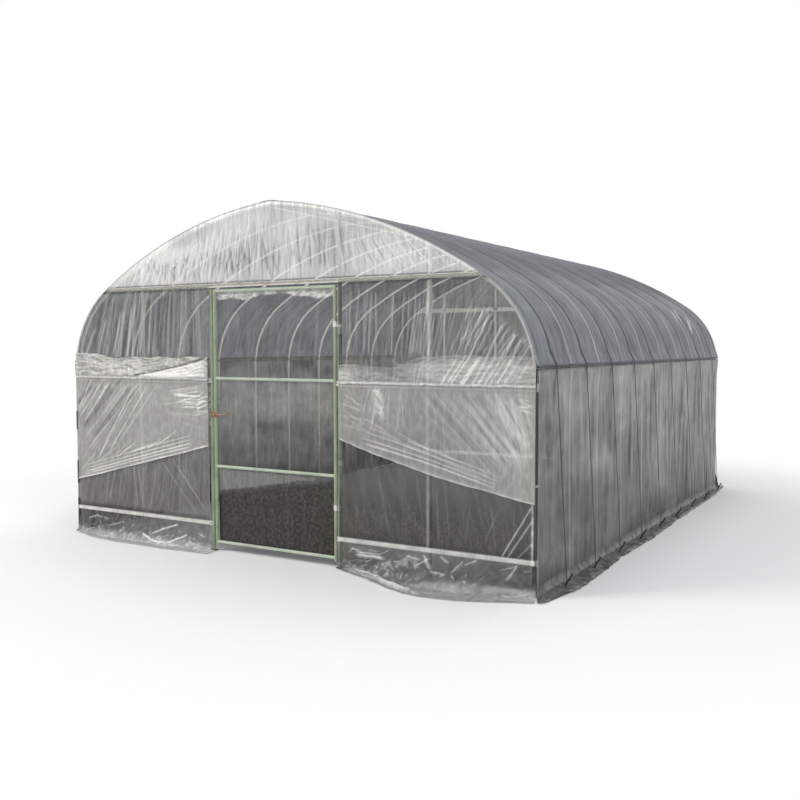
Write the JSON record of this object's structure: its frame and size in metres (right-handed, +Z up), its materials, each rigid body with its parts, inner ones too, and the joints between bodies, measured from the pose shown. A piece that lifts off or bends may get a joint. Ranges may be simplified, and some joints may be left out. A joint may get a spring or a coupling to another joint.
{
  "type": "polytunnel greenhouse",
  "caption": "Walk-in polytunnel of bent pipe hoops under clear film, with framed end walls, a hinged film door, hold-down bands and a film skirt on the ground.",
  "frame": {"origin": "on the ground, in the middle of the plan including the film skirts", "axes": "+Z up; +Y along the tunnel from the door end to the far end; +X to the right seen from outside the door"},
  "size_m": [3.9016, 5.1778, 2.286],
  "materials": {
    "galvanised_pipe": "weathered zinc, satin",
    "channel": "pale cream coating, satin",
    "green_pipe": "faded pale green coating, satin",
    "mint_pipe": "faded mint coating, satin",
    "clamp_steel": "zinc plated, dull",
    "hinge_steel": "zinc plated, dull",
    "latch_steel": "rusted",
    "band_webbing": "woven, matte",
    "peg_steel": "dark, matte",
    "shoe_steel": "dark, matte",
    "film": "thin clear plastic film, greyed, crumpled"
  },
  "bodies": {
    "greenhouse": {"back_bottom_rail": "channel", "back_clamps": "clamp_steel", "back_film": "film", "back_mid_rail": "channel", "back_studs": "galvanised_pipe", "back_top_rail": "channel", "band_pegs": "peg_steel", "door_post_shoes": "shoe_steel", "eave_clamps": "clamp_steel", "eave_rail_left": "channel", "eave_rail_right": "channel", "front_bottom_rails": "channel", "front_clamps": "clamp_steel", "front_door_post_left": "green_pipe", "front_door_post_right": "green_pipe", "front_film_left": "film", "front_film_right": "film", "front_gable_film": "film", "front_mid_rails": "channel", "front_studs": "galvanised_pipe", "front_top_rail": "channel", "hinge_leaves_post": "hinge_steel", "hoop_01": "galvanised_pipe", "hoop_02": "galvanised_pipe", "hoop_03": "galvanised_pipe", "hoop_04": "galvanised_pipe", "hoop_05": "galvanised_pipe", "hoop_06": "galvanised_pipe", "hoop_07": "galvanised_pipe", "hoop_08": "galvanised_pipe", "hoop_09": "galvanised_pipe", "hoop_10": "galvanised_pipe", "latch_keeper": "latch_steel", "ridge_clamps": "clamp_steel", "ridge_pipe": "galvanised_pipe", "roof_bands": "band_webbing", "roof_film": "film", "side_film_left": "film", "side_film_right": "film"},
    "door": {"hinge_leaves_door": "hinge_steel", "door_stile_hinge": "green_pipe", "door_stile_latch": "green_pipe", "door_rails": "mint_pipe", "door_film": "film", "door_latch": "latch_steel"}
  },
  "joints": [
    {"name": "door_hinge", "type": "hinge", "parent": "greenhouse", "child": "door", "pos_m": [0.498, -2.272, 0.9375], "axis": [0, 0, 1], "range_deg": [0, 160]}
  ]
}
